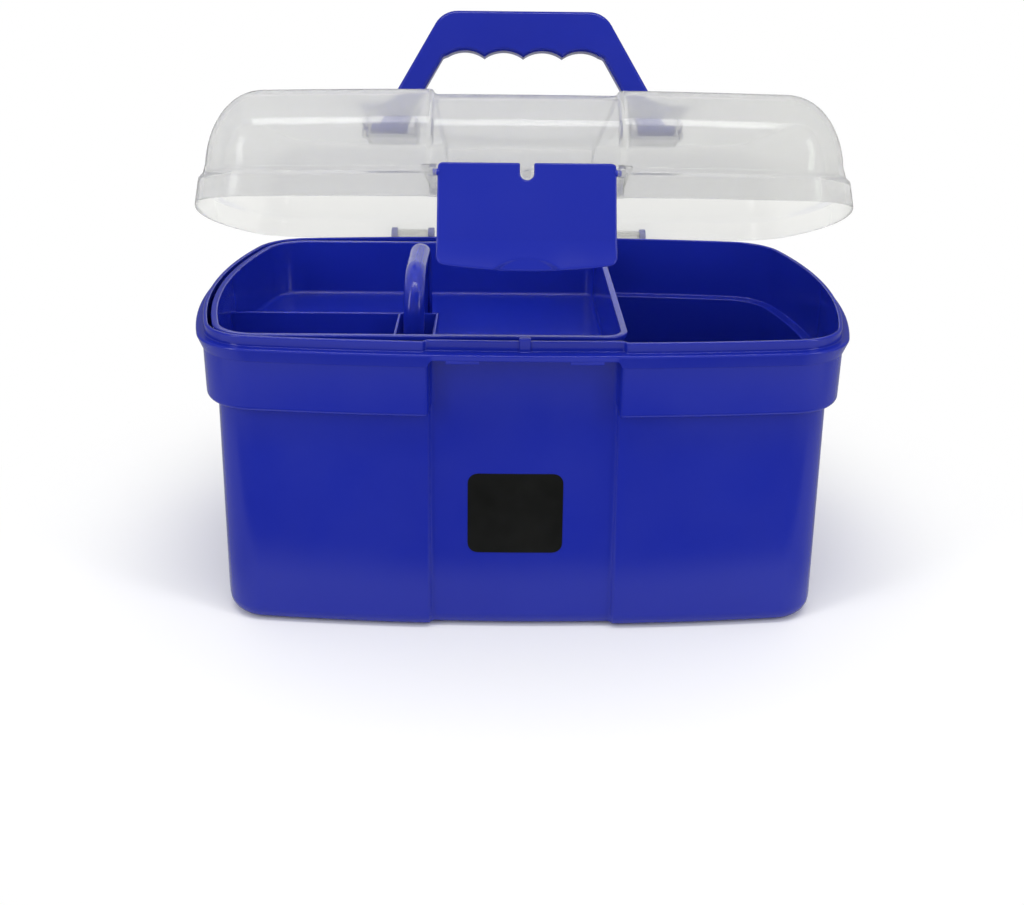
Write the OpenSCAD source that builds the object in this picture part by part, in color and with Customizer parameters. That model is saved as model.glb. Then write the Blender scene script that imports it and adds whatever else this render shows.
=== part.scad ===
// Horse grooming box: tub, lift-out tray, hinged see-through lid, latch and carry handle.
// The origin is the middle of the base. The front is -Y, the right is +X and up is +Z.

/* [Box] */
// Length over the rim flange
box_w = 340; // [310:1:380]
// Depth over the rim flange
box_d = 210; // [195:1:240]
// Height of the rim flange's top
rim_h = 148; // [120:1:180]
// Radius of the upright corners at the rim
corner_r = 34; // [30:1:40]
// Radius of the outward bow of the front and back
front_bow_r = 1200; // [1000:10:1600]
// Radius of the outward bow of the two ends
end_bow_r = 270; // [250:5:320]
// Thickness of the tub's walls
wall = 2.2; // [1.8:0.1:2.8]
// Thickness of the tub's floor
floor_t = 2.5; // [2:0.1:3.5]
// Slope of the lower walls in degrees
draft = 1; // [0:0.1:1.5]
// Radius of the edge round the base
foot_round = 8; // [5:0.5:10]

/* [Rim] */
// Height of the flared rim flange
flange_h = 7; // [5:0.5:9]
// How far the flange narrows downwards
flange_taper = 3; // [2:0.1:4]
// How far the upstand stands inside the flange's edge
upstand_in = 4.2; // [4:0.1:5]
// Height of the upstand above the flange
upstand_h = 5; // [3:0.5:7]
// Thickness of the upstand
upstand_t = 2; // [1.5:0.1:2.5]

/* [Shoulder] */
// Height of the shoulder, from its underside to the flange's top
shoulder_h = 33; // [28:1:40]
// How far the shoulder lies inside the flange's edge
shoulder_in = 3.5; // [3:0.1:4]
// How far the shoulder narrows downwards
shoulder_taper = 1; // [0:0.1:2]
// Radius of the shoulder's round underside
shoulder_round = 5.5; // [4:0.5:7]
// Height of the tray ledge above the shoulder's underside
ledge_t = 3; // [2.5:0.1:4]

/* [Centre panels] */
// Width of the sunk panels in the middle of the front and back
panel_w = 89.5; // [80:0.5:96]
// How far the panels lie behind the lower walls
panel_set = 2.5; // [1.5:0.1:3.5]
// Thickness of the latch lip above a panel
lip_h = 3; // [2.5:0.1:4]
// How far the lip lies inside the flange's edge
lip_in = 0.5; // [0.3:0.1:1]
// Width of the two teeth under the lip
tooth_w = 16; // [10:1:20]
// Distance of each tooth from the middle
tooth_x = 21; // [15:1:22]
// Depth of the teeth
tooth_h = 1.5; // [0.5:0.1:1.8]
// Width of the locating post on the lip
post_w = 5.6; // [4:0.1:8]

/* [Lid] */
// Height of the lid above its lower edge
lid_h = 56; // [50:1:70]
// Thickness of the lid
lid_t = 1.6; // [1.4:0.1:2]
// Height of the lid's skirt
skirt_h = 12; // [10:0.5:12.5]
// How far the lid steps in above the skirt
skirt_step = 2; // [1:0.1:3]
// Height at which the lid's walls start to round over
dome_z = 20; // [17:0.5:25]
// Width of the sunk belt over the lid
belt_w = 89; // [84:0.5:95]
// Depth of the belt
belt_depth = 2.6; // [2.4:0.1:3]
// How far the lid stands open
lid_open = 20; // [0:1:100]

/* [Hinge] */
// Distance of the hinge axis behind the flange's edge
hinge_back = 4; // [4:0.1:5]
// Height of the hinge axis above the flange's top
hinge_up = 4; // [4:0.1:5]
// Distance of each hinge from the middle
hinge_x = 66; // [60:1:80]
// Radius of the hinge pins
hinge_pin_r = 2; // [1.5:0.1:2.2]
// Radius of the lid's hinge barrels
barrel_r = 3.2; // [2.8:0.1:3.4]
// Length of the hinge barrels
barrel_l = 18; // [12:1:22]
// Thickness of the tub's hinge lugs
lug_t = 4; // [3:0.1:5]

/* [Latch] */
// Width of the latch
latch_w = 82.4; // [76:0.1:82.4]
// Thickness of the latch
latch_t = 2.2; // [1.8:0.1:2.2]
// How far the latch rises above its pins
latch_up = 4.6; // [3:0.1:4.6]
// How far the latch hangs below its pins
latch_down = 45.5; // [40:0.5:55]
// Height of the latch pins above the lid's lower edge
latch_z = 10.5; // [9.5:0.1:11]
// Radius of the latch pins
latch_pin_r = 1.6; // [1.2:0.1:1.8]
// How far the thumb lip stands out
thumb_out = 5; // [2:0.5:8]
// Depth of the bow of the lower edge
latch_bow = 3; // [2:0.1:4]
// Width of the notch in the upper edge
notch_w = 6.4; // [5.5:0.1:8]
// Depth of the notch
notch_h = 8; // [7.5:0.1:9]
// Thickness of the lid's ears that hold the latch
ear_t = 3.5; // [3:0.1:4]

/* [Carry handle] */
// Height of the handle above the lid
handle_h = 60; // [52:1:70]
// Length of the handle's straight top
handle_top = 76; // [70:1:84]
// Spread of the handle's legs where they meet the lid
handle_w = 154; // [148:1:160]
// Width of the legs
leg_w = 14.7; // [12:0.1:17]
// Thickness of the handle
handle_t = 9; // [7:0.5:10]
// Height of the grip bar at the finger hollows
grip_h = 22.3; // [18:0.1:26]
// Spacing of the finger hollows
finger_pitch = 21.3; // [19:0.1:22]
// Depth of the finger hollows
finger_h = 3.7; // [2:0.1:5]
// Depth of the handle's pins below the lid's top
foot_z = 5; // [4.8:0.1:6]
// Radius of the handle's feet
foot_r = 4.5; // [3.5:0.1:4.8]
// Radius of the handle's pins
handle_pin_r = 1.9; // [1.5:0.1:2.2]
// Length of the handle's pins
handle_pin_l = 3.9; // [3:0.1:4.5]

/* [Tray] */
// Distance of the tray's long sides inside the flange's edge
tray_side = 15.5; // [15.5:0.5:20]
// Where the tray's right end lies
tray_right = 50; // [30:1:60]
// Distance of the tray's left end inside the flange's edge
tray_in = 8; // [7.8:0.1:10]
// Height of the tray
tray_h = 34; // [28:0.5:36]
// Thickness of the tray
tray_t = 1.8; // [1.4:0.1:2.2]
// Width of the tray's lip
tray_lip = 1.5; // [1:0.1:2]
// Radius of the tray's left corners
tray_corner_r = 24; // [22:0.5:26]
// Radius of the tray's right corners
tray_end_r = 12; // [10:0.5:16]
// Height of the dividers above the tray's floor
divider_h = 15; // [10:0.5:24]
// Place of the arch handle along the tray
arch_x = -56; // [-70:1:-45]
// Height of the arch handle above the tray's lip
arch_h = 23; // [15:0.5:28]
// Reach of the arch handle to each side
arch_y = 42; // [35:1:50]
// Width of the arch handle
arch_w = 11; // [8:0.5:14]
// Thickness of the arch handle
arch_t = 5; // [4:0.1:7]
// Width of the pocket round the arch's front leg
pocket_w = 22; // [18:0.5:28]

/* [Hidden] */

blue = [0.12, 0.16, 0.62];
frosted = [0.92, 0.93, 0.95, 0.6];

// Clearance between pieces that move and round a pin in its hole, and overrun of every cut
gap = 0.4;
pin_gap = 0.1;
over = 1;
// Facets of small rounds, of the finger hollows and of a long bow
small_fn = 48;
corner_fn = 160;
bow_fn = 720;
// Steps of a rounded corner in an outline, of an upright corner, of a bow and of the lid's dome
round_steps = 3;
corner_steps = 6;
bow_steps = 3;
end_steps = 6;
dome_steps = 7;
// Small edge radius of mouldings
edge_r = 0.6;
// Radii left at the inner ends of the swept walls, and of the plates that fill them
ring_end_r = 1;
plate_end_r = 2.5;
flat_end_r = 4;
// Width over which a wall steps back at the edge of a panel
jog_w = 0.8;

// Plan of the rim: centres of the bows and of the round corners that join them
front_c = front_bow_r - box_d / 2;
end_c = box_w / 2 - end_bow_r;
bow_span = norm([end_c, front_c]);
front_reach = front_bow_r - corner_r;
end_reach = end_bow_r - corner_r;
along = (front_reach^2 - end_reach^2 + bow_span^2) / (2 * bow_span);
aside = sqrt(front_reach^2 - along^2);
bow_dir = [end_c, -front_c] / bow_span;
corner_c = [0, front_c] + along * bow_dir + aside * [-bow_dir.y, bow_dir.x];
front_a = atan2(corner_c.x, front_c - corner_c.y);
end_a = atan2(-corner_c.y, corner_c.x - end_c);
// Tub
ring_end = corner_r - ring_end_r;
plate_in = corner_r - plate_end_r;
shoulder_z = rim_h - shoulder_h;
ledge_z = shoulder_z + ledge_t;
ledge_in = shoulder_in + shoulder_taper + wall;
lower_in = shoulder_in + shoulder_taper + shoulder_round;
foot_in = lower_in + shoulder_z * tan(draft);
lip_z = rim_h - lip_h;
panel_top_in = lower_in + panel_set - (lip_z - shoulder_z) * tan(draft);
panel_foot_in = foot_in + panel_set;
panel_upstand_in = upstand_in + belt_depth;
rib_root_in = (foot_in + panel_top_in + wall) / 2;
tray_bearing = 4;

// Hinge axis
hinge_y = box_d / 2 + hinge_back;
hinge_z = rim_h + hinge_up;
lug_wall = 1;
lug_r = barrel_r + lug_wall;
lug_root = 6;
barrel_root = 4;
pin_l = barrel_l + 2 * (gap + lug_t);

// Carry handle
top_round_rise = 12;
top_round = 14;
leg_slope = (handle_w - handle_top) / 2 / (handle_h + top_round_rise);
grip_z = handle_h - grip_h - finger_h;
foot_x = handle_w / 2 + foot_z * leg_slope;
foot_slack = 2.8;
foot_l = 20;
swing_reach = foot_z * (sqrt(2) - 1) + handle_t / 2;
finger_n = 4;
finger_r = ((finger_pitch / 2)^2 + finger_h^2) / (2 * finger_h);
inner_round = 6;

// Lid, drawn closed
lid_z = rim_h + gap;
lid_top = lid_z + lid_h;
skirt_in = lip_in;
skirt_lean = 1;
wall_lean = 1.2;
dome_in = skirt_in + skirt_lean + skirt_step + wall_lean;
flat_in = corner_r - flat_end_r;
dome_w = flat_in - dome_in;
dome_h = lid_h - dome_z;
// Well that holds a foot of the handle
well_end_gap = 0.8;
well_x1 = foot_x + foot_slack + well_end_gap;
well_x0 = handle_w / 2 - leg_w - swing_reach * leg_slope - well_end_gap;
well_side_gap = 1.2;
well_y = foot_z + handle_t / 2 * sqrt(2) + well_side_gap;
well_floor_gap = 1.6;
well_h = foot_z + foot_r + well_floor_gap;
well_round = 3;
pin_wall = handle_pin_l;

// Latch, its pins at latch_pin
latch_out = 1.1;
latch_pin = [-box_d / 2 - latch_out, lid_z + latch_z];
hook_z = lip_z - tooth_h - gap - latch_pin.y;
hook_l = 3.2;
hook_h = 1.4;
hook_inset = 4;
ear_r = 4;
ear_bite = 0.25;
ear_in = skirt_in + belt_depth + skirt_lean + ear_bite;
tab_w = 3.6;
bow_r = ((latch_w / 2)^2 + latch_bow^2) / (2 * latch_bow);
thumb_h = 10;
thumb_round = 20;

// Tray
tray_d = box_d - 2 * tray_side;
tray_z = ledge_z + gap;
tray_top = tray_z + tray_h;
tray_lean = 1.8;
tray_lip_h = 2.4;
tray_foot = 3;
tray_ring_end = tray_end_r - ring_end_r;
tray_plate_end_r = 2;
tray_plate_in = tray_end_r - tray_plate_end_r;
tray_end = end_bow_r - tray_in;
tray_corner_y = tray_d / 2 - tray_corner_r;
tray_corner_x = -end_c - sqrt((tray_end - tray_corner_r)^2 - tray_corner_y^2);
tray_a = atan2(tray_corner_y, -end_c - tray_corner_x);
arch_round = 26;

// Points along an arc, without its last point.
function arc(c, r, from, to, n) =
    [for (k = [0:n - 1]) let (a = from + (to - from) * k / n) c + r * [cos(a), sin(a)]];

// Points that round the corner b between a and c.
function round_at(a, b, c, r) =
    let (u = (a - b) / norm(a - b), v = (c - b) / norm(c - b), open = acos(u * v))
    let (m = b + (u + v) / norm(u + v) * r / sin(open / 2), s = b + u * r / tan(open / 2) - m)
    let (turn = (u.x * v.y - u.y * v.x > 0 ? -1 : 1) * (180 - open) / round_steps)
    [for (k = [0:round_steps])
        m + [s.x * cos(k * turn) - s.y * sin(k * turn), s.x * sin(k * turn) + s.y * cos(k * turn)]];

function xy(p) = [p.x, p.y];

// An outline of corners [x, y, radius] with its corners rounded.
function rounded(p) = [for (i = [0:len(p) - 1]) let (b = p[i], n = len(p))
    each b[2] == 0 ? [xy(b)] : round_at(xy(p[(i + n - 1) % n]), xy(b), xy(p[(i + 1) % n]), b[2])];

// Which profile a wall has where it crosses the plan
beside_panel = 0;
panel_edge = 1;
on_panel = 2;

// Stations along an arc of the plan, without its last: centre, radius, angle and profile.
function arc_stations(c, r, from, to, n) =
    [for (k = [0:n - 1]) [c, r, from + (to - from) * k / n, beside_panel]];

// Stations along the front, from left to right, with a sunk panel of half width p in walls t thick.
// They add where the station lies along X.
function bow_stations(p, t) =
    let (rise = (corner_c.x - p) / bow_steps, c = [0, front_c])
    let (right = concat(
        [[p, on_panel], [p + jog_w, panel_edge], [p + t, panel_edge], [p + t + jog_w, beside_panel]],
        [for (k = [1:bow_steps - 1]) [p + rise * k, beside_panel]]))
    concat(
        [[c, front_bow_r, -90 - front_a, beside_panel]],
        [for (k = [len(right) - 1:-1:0]) [c, front_bow_r, -90, right[k][1], -right[k][0]]],
        [[c, front_bow_r, -90, on_panel, 0]],
        [for (q = right) [c, front_bow_r, -90, q[1], q[0]]]);

// Half turn of the box: the front, a corner, the right end and the next corner.
function half_stations(p, t) = concat(
    bow_stations(p, t),
    arc_stations([0, front_c], front_bow_r, -90 + front_a, -90 + front_a, 1),
    [for (k = [1:corner_steps - 1])
        [corner_c, corner_r, -90 + front_a + (90 - front_a - end_a) * k / corner_steps, beside_panel]],
    arc_stations([end_c, 0], end_bow_r, -end_a, end_a, end_steps),
    arc_stations([corner_c.x, -corner_c.y], corner_r, end_a, 90 - front_a, corner_steps));

// Point of a station at an inward offset.
function station_point(s, inwards) = let (r = s[1] - inwards)
    len(s) > 4 ? [s[4], s[0].y - sqrt(r^2 - s[4]^2)] : s[0] + r * [cos(s[2]), sin(s[2])];

// Rings of points all round the box; each profile is a list of inward offsets and heights.
function box_rings(p, t, profiles) = let (half = half_stations(p, t)) [for (turn = [1, -1]) each
    [for (s = half) [for (q = profiles[s[3]])
        let (at = station_point(s, q.x)) [turn * at.x, turn * at.y, q.y]]]];

// The box's plan, drawn in by an offset.
function plan(inwards) = let (half = half_stations(panel_w / 2, wall))
    [for (turn = [1, -1]) each [for (s = half) turn * station_point(s, inwards)]];

// Centred rectangle with round corners.
function round_rect(w, h, r) = rounded(
    [[-w / 2, -h / 2, r], [w / 2, -h / 2, r], [w / 2, h / 2, r], [-w / 2, h / 2, r]]);

// Solid whose rings of points are cross-sections of a wall all round.
module loft(rings) {
    n = len(rings);
    m = len(rings[0]);
    polyhedron([for (r = rings) each r], [for (i = [0:n - 1]) for (k = [0:m - 1])
        let (a = i * m, b = (i + 1) % n * m, l = (k + 1) % m)
        each [[a + k, b + l, a + l], [a + k, b + k, b + l]]]);
}

// Space between two planes x = -half and x = half.
module slab(half) translate([-half, -box_d, -box_w]) cube([2 * half, 2 * box_d, 2 * box_w]);

module beside(half) difference() { children(); slab(half); }
module between(half) intersection() { children(); slab(half); }
module at_edges(half, t) intersection() {
    children();
    for (side = [-1, 1]) translate([side * (half + t / 2), 0, 0]) slab(t / 2);
}

module both_sides() for (side = [0, 1]) mirror([side, 0, 0]) children();
module front_and_back() for (side = [0, 1]) mirror([0, side, 0]) children();

// Extrudes an outline drawn as depth and height along X, centred.
module across(w) rotate([90, 0, 90]) translate([0, 0, -w / 2]) linear_extrude(w) children();

module rod(r, l, fn = small_fn) rotate([0, 90, 0]) cylinder(r = r, h = l, center = true, $fn = fn);

// Turns what is drawn on the closed lid to where the lid stands.
module on_lid() translate([0, hinge_y, hinge_z]) rotate([-lid_open, 0, 0])
    translate([0, -hinge_y, -hinge_z]) children();

// Tub

outer_side = [
    [0, rim_h, 0], [flange_taper, rim_h - flange_h, 0], [shoulder_in, rim_h - flange_h, 0],
    [shoulder_in + shoulder_taper, shoulder_z, shoulder_round], [lower_in, shoulder_z, 0],
    [foot_in, 0, foot_round], [ring_end, 0, 0], [ring_end, floor_t, 0],
];
inner_panel = [
    [panel_foot_in + wall, floor_t, foot_round - wall], [panel_top_in + wall, rim_h, 0],
    [panel_upstand_in + upstand_t, rim_h, 0], [panel_upstand_in + upstand_t, rim_h + upstand_h, 0],
];

// Cross-sections of the tub's wall beside, at the edge of and on a panel, with as many points each
tub_side = rounded(concat(outer_side, [
    [foot_in + wall, floor_t, foot_round - wall], [lower_in + wall, ledge_z, 0], [ledge_in, ledge_z, 0],
    [upstand_in + upstand_t, rim_h + upstand_h, 0],
    [upstand_in, rim_h + upstand_h, 0], [upstand_in, rim_h, 0]]));
tub_edge = rounded(concat(outer_side, inner_panel,
    [[panel_upstand_in, rim_h + upstand_h, 0], [panel_upstand_in, rim_h, 0]]));
panel_face = rounded(concat(
    [[panel_top_in, lip_z, 0], [panel_foot_in, 0, foot_round], [ring_end, 0, 0], [ring_end, floor_t, 0]],
    inner_panel, [[panel_upstand_in, rim_h + upstand_h, 0], [panel_upstand_in, rim_h, 0]]));
tub_panel = concat(
    [[lip_in, rim_h], [lip_in, lip_z], panel_face[0]],
    [for (k = [round_steps + 1:-1:0]) let (z = shoulder_z + shoulder_round * k / (round_steps + 1))
        [panel_top_in + (lip_z - z) * tan(draft), z]],
    [for (k = [1:len(panel_face) - 1]) panel_face[k]]);

// Ribs inside the edges of the panels, which carry the tray.
module tray_ribs() both_sides() front_and_back()
    translate([panel_w / 2 + wall / 2, -box_d / 2, 0]) across(wall) polygon([
        [rib_root_in, ledge_z], [rib_root_in, foot_round], [foot_in + foot_round, floor_t],
        [tray_side + tray_bearing + foot_in - lower_in, floor_t],
        [tray_side + tray_bearing + tray_lip + tray_lean, ledge_z],
    ]);

module hinge_lugs() both_sides() for (side = [-1, 1])
    translate([hinge_x + side * (barrel_l / 2 + gap + lug_t / 2), 0, 0]) difference() {
        union() {
            across(lug_t) polygon([
                [hinge_y - hinge_back - lug_root, rim_h - flange_h],
                [hinge_y - hinge_back - lug_root, rim_h],
                [hinge_y - lug_r, rim_h], [hinge_y - lug_r, hinge_z], [hinge_y + lug_r, hinge_z],
                [hinge_y + lug_r, rim_h - flange_h + lug_r]]);
            translate([0, hinge_y, hinge_z]) rod(lug_r, lug_t);
        }
        translate([0, hinge_y, hinge_z]) rod(hinge_pin_r + pin_gap, lug_t + 2 * over);
    }

// Teeth under the latch lip and the post that locates the closed lid.
module lip_details() {
    both_sides() translate([tooth_x, lip_in + edge_r - box_d / 2, lip_z - tooth_h])
        cube([tooth_w, lip_h - edge_r, tooth_h + edge_r]);
    translate([0, lip_in + edge_r - box_d / 2, 0]) across(post_w) polygon(rounded([
        [0, lip_z + edge_r, 0], [panel_upstand_in + edge_r, lip_z + edge_r, 0],
        [panel_upstand_in + edge_r, rim_h + upstand_h, 0],
        [panel_upstand_in - upstand_t, rim_h + upstand_h, edge_r],
        [panel_upstand_in - upstand_t, rim_h, 0], [0, rim_h, 0]]));
}

module tub() color(blue) {
    loft(box_rings(panel_w / 2, wall, [tub_side, tub_edge, tub_panel]));
    linear_extrude(floor_t) polygon(plan(plate_in));
    tray_ribs();
    hinge_lugs();
    lip_details();
}

// Lid

// Outer and inner points of the lid's wall; sunk moves them in and down for the belt.
function lid_curve(sunk, flip) = let (s = [for (k = [0:dome_steps])
    let (a = 90 * (flip ? dome_steps - k : k) / dome_steps)
    [flat_in - (dome_w - sunk) * cos(a), lid_z + dome_z + (dome_h - sunk) * sin(a), 0]]) s;
function lid_skirt(sunk, rise) = [
    [skirt_in + sunk, lid_z, 0], [skirt_in + skirt_lean + sunk, lid_z + skirt_h - rise, 0],
    [skirt_in + skirt_lean + skirt_step + sunk, lid_z + skirt_h + skirt_step - rise, 0]];
function lid_outer(sunk) =
    concat(lid_skirt(sunk, 0), lid_curve(sunk, false), [[ring_end, lid_top - sunk, 0]]);
function lid_inner(sunk) = let (s = lid_skirt(sunk + lid_t, lid_t))
    concat([[ring_end, lid_top - sunk - lid_t, 0]], lid_curve(sunk + lid_t, true), [s[2], s[1], s[0]]);

function lid_wall(outer_sunk, inner_sunk) = let (p = concat(lid_outer(outer_sunk), lid_inner(inner_sunk)))
    [for (k = [len(p) - 1:-1:0]) xy(p[k])];

module top_plate(top, t) translate([0, 0, top - t]) linear_extrude(t) polygon(plan(plate_in));

module well(grow, depth) both_sides()
    translate([(well_x0 + well_x1) / 2, 0, lid_top - depth]) linear_extrude(depth + (grow == 0 ? over : 0))
        polygon(round_rect(well_x1 - well_x0 + 2 * grow, 2 * (well_y + grow), well_round + grow));

module latch_ears() both_sides()
    translate([latch_w / 2 + gap + ear_t / 2, latch_pin.x, latch_pin.y]) {
        rod(ear_r, ear_t);
        translate([0, -latch_pin.x - box_d / 2, -latch_pin.y]) across(ear_t)
            polygon([[-latch_out, lid_z + latch_z - ear_r], [ear_in, lid_z + edge_r],
                [ear_in, lid_z + skirt_h], [-latch_out, lid_z + latch_z + ear_r]]);
    }

module lid_tab() translate([0, -box_d / 2, 0]) across(tab_w) polygon([
    [-latch_out + gap, latch_pin.y - tab_w / 2], [ear_in, latch_pin.y - tab_w / 2],
    [ear_in, lid_z + skirt_h], [-latch_out + gap, lid_z + skirt_h]]);

module hinge_barrels() both_sides() translate([hinge_x, hinge_y, hinge_z]) {
    rod(barrel_r, barrel_l);
    rod(hinge_pin_r, pin_l);
    translate([-barrel_l / 2, -hinge_back - barrel_root, -lid_t])
        cube([barrel_l, hinge_back + barrel_root, 2 * lid_t]);
}

module lid() color(frosted) on_lid() difference() {
    union() {
        loft(box_rings(belt_w / 2, lid_t,
            [lid_wall(0, 0), lid_wall(0, belt_depth), lid_wall(belt_depth, belt_depth)]));
        beside(belt_w / 2) top_plate(lid_top, lid_t);
        between(belt_w / 2) top_plate(lid_top - belt_depth, lid_t);
        at_edges(belt_w / 2, lid_t) top_plate(lid_top, lid_t + belt_depth);
        well(lid_t, well_h + lid_t);
        both_sides() translate([well_x1, -foot_r, lid_top - well_h])
            cube([pin_wall, 2 * foot_r, well_h - edge_r]);
        latch_ears();
        lid_tab();
        hinge_barrels();
    }
    well(0, well_h);
    both_sides() translate([well_x1 + pin_wall / 2, 0, lid_top - foot_z])
        rod(handle_pin_r + pin_gap, pin_wall + 2 * over);
    both_sides() translate([latch_w / 2 + gap + ear_t / 2, latch_pin.x, latch_pin.y])
        rod(latch_pin_r + pin_gap, ear_t + 2 * over);
}

// Latch

module latch_side() polygon(rounded([
    [latch_t / 2, latch_up, edge_r], [-latch_t / 2, latch_up, edge_r],
    [-latch_t / 2, thumb_h - latch_down, thumb_round], [-latch_t / 2 - thumb_out, -latch_down, edge_r],
    [latch_t / 2 - thumb_out, -latch_down, edge_r], [latch_t / 2, thumb_h - latch_down, thumb_round]]));

module latch_front() difference() {
    intersection() {
        translate([0, (latch_up - latch_down) / 2])
            polygon(round_rect(latch_w, latch_up + latch_down, latch_bow));
        translate([0, bow_r - latch_down]) circle(r = bow_r, $fn = bow_fn);
    }
    translate([-notch_w / 2, latch_up - notch_h + notch_w / 2]) square([notch_w, notch_h]);
    translate([0, latch_up - notch_h + notch_w / 2]) circle(d = notch_w, $fn = small_fn);
}
module latch() color(blue) on_lid() translate([0, latch_pin.x, latch_pin.y]) {
    intersection() {
        across(latch_w) latch_side();
        rotate([90, 0, 0]) linear_extrude(2 * (thumb_out + latch_t), center = true) latch_front();
    }
    both_sides() translate([(latch_w + notch_w) / 4, 0, 0])
        rod(latch_t / 2 + edge_r, latch_w / 2 - notch_w / 2 - 2 * edge_r);
    both_sides() translate([latch_w / 2 + ear_t / 2, 0, 0]) rod(latch_pin_r, ear_t + 2 * gap);
    across(latch_w - 2 * hook_inset) polygon([
        [0, hook_z], [latch_t / 2 + hook_l, hook_z], [latch_t / 2 + hook_l, hook_z - hook_h],
        [0, hook_z - 3 * hook_h]]);
}

// Carry handle

module handle_outline() {
    low = -foot_z;
    difference() {
        polygon(rounded([
            [-handle_w / 2 - foot_z * leg_slope, low, 0], [handle_w / 2 + foot_z * leg_slope, low, 0],
            [handle_w / 2 - handle_h * leg_slope, handle_h, top_round],
            [-handle_w / 2 + handle_h * leg_slope, handle_h, top_round]]));
        polygon(rounded([
            [-handle_w / 2 + leg_w - (foot_z + over) * leg_slope, low - over, 0],
            [handle_w / 2 - leg_w + (foot_z + over) * leg_slope, low - over, 0],
            [handle_w / 2 - leg_w - grip_z * leg_slope, grip_z, inner_round],
            [-handle_w / 2 + leg_w + grip_z * leg_slope, grip_z, inner_round]]));
        intersection() {
            for (i = [0:finger_n - 1])
                translate([(i - (finger_n - 1) / 2) * finger_pitch, grip_z + finger_h - finger_r])
                    circle(r = finger_r, $fn = corner_fn);
            translate([-handle_w / 2, grip_z - over]) square([handle_w, finger_h + 2 * over]);
        }
    }
}
module carry_handle() color(blue) on_lid() translate([0, 0, lid_top]) {
    rotate([90, 0, 0]) translate([0, 0, -handle_t / 2]) linear_extrude(handle_t) handle_outline();
    both_sides() translate([foot_x + foot_slack, 0, -foot_z]) {
        translate([-foot_l / 2, 0, 0]) rod(foot_r, foot_l);
        translate([handle_pin_l / 2 - edge_r / 2, 0, 0]) rod(handle_pin_r, handle_pin_l + edge_r);
    }
}

// Tray

tray_wall = rounded([
    [0, tray_top, 0], [0, tray_top - tray_lip_h, 0], [tray_lip, tray_top - tray_lip_h, 0],
    [tray_lip + tray_lean, tray_z, tray_foot],
    [tray_ring_end, tray_z, 0], [tray_ring_end, tray_z + tray_t, 0],
    [tray_lip + tray_lean + tray_t, tray_z + tray_t, tray_foot - tray_t], [tray_lip + tray_t, tray_top, 0]]);

// Corners of the tray and its bowed left end, in turn.
tray_stations = concat(
    arc_stations([tray_corner_x, -tray_corner_y], tray_corner_r, 180 + tray_a, 270, corner_steps),
    arc_stations([tray_corner_x, -tray_corner_y], tray_corner_r, 270, 270, 1),
    arc_stations([tray_right - tray_end_r, tray_end_r - tray_d / 2], tray_end_r, 270, 360, corner_steps),
    arc_stations([tray_right - tray_end_r, tray_end_r - tray_d / 2], tray_end_r, 360, 360, 1),
    arc_stations([tray_right - tray_end_r, tray_d / 2 - tray_end_r], tray_end_r, 0, 90, corner_steps),
    arc_stations([tray_right - tray_end_r, tray_d / 2 - tray_end_r], tray_end_r, 90, 90, 1),
    arc_stations([tray_corner_x, tray_corner_y], tray_corner_r, 90, 180 - tray_a, corner_steps),
    arc_stations([-end_c, 0], tray_end, 180 - tray_a, 180 + tray_a, end_steps));
tray_rings = [for (s = tray_stations) [for (q = tray_wall)
    let (at = station_point(s, q.x)) [at.x, at.y, q.y]]];
tray_floor = [for (s = tray_stations) station_point(s, tray_plate_in)];

// Arch handle, drawn as depth and height.
module arch_outline(inwards) polygon(rounded([
    [inwards - arch_y, tray_z, 0], [arch_y - inwards, tray_z, 0],
    [arch_y - inwards - tray_lip, tray_top + arch_h - inwards, arch_round - inwards],
    [tray_lip + inwards - arch_y, tray_top + arch_h - inwards, arch_round - inwards]]));

module dividers() {
    left = box_w / 2 - tray_in - tray_lip - tray_lean;
    pocket_l = tray_d / 2 - tray_lip - tray_t / 2;
    translate([-left, -tray_t / 2, tray_z]) cube([left + arch_x + pocket_w / 2, tray_t, tray_t + divider_h]);
    for (side = [-1, 1]) translate([arch_x + side * (pocket_w - tray_t) / 2 - tray_t / 2, -pocket_l, tray_z])
        cube([tray_t, pocket_l, tray_t + divider_h]);
}

module tray() color(blue) {
    loft(tray_rings);
    translate([0, 0, tray_z]) linear_extrude(tray_t) polygon(tray_floor);
    dividers();
    translate([arch_x, 0, 0]) across(arch_w) difference() {
        arch_outline(0);
        arch_outline(arch_t);
    }
}

tub();
tray();
lid();
latch();
carry_handle();
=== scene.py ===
"""Looks of a horse grooming box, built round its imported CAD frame.
Sizes are in millimetres unless named otherwise."""

import bisect
import math

import bmesh
import bpy
from mathutils import Matrix, Vector


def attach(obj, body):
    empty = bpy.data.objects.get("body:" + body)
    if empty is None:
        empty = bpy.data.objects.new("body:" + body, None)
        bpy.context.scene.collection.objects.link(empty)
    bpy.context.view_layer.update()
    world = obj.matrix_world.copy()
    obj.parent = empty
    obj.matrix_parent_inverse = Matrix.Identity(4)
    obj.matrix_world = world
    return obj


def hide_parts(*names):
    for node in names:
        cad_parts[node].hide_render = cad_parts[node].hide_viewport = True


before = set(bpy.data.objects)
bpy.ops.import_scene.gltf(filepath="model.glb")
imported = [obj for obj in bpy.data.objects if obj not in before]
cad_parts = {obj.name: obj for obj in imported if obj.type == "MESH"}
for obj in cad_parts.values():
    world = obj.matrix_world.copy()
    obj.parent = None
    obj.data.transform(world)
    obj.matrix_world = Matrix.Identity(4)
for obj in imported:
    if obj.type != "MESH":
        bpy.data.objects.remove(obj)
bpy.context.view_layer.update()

MM = 0.001

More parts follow.
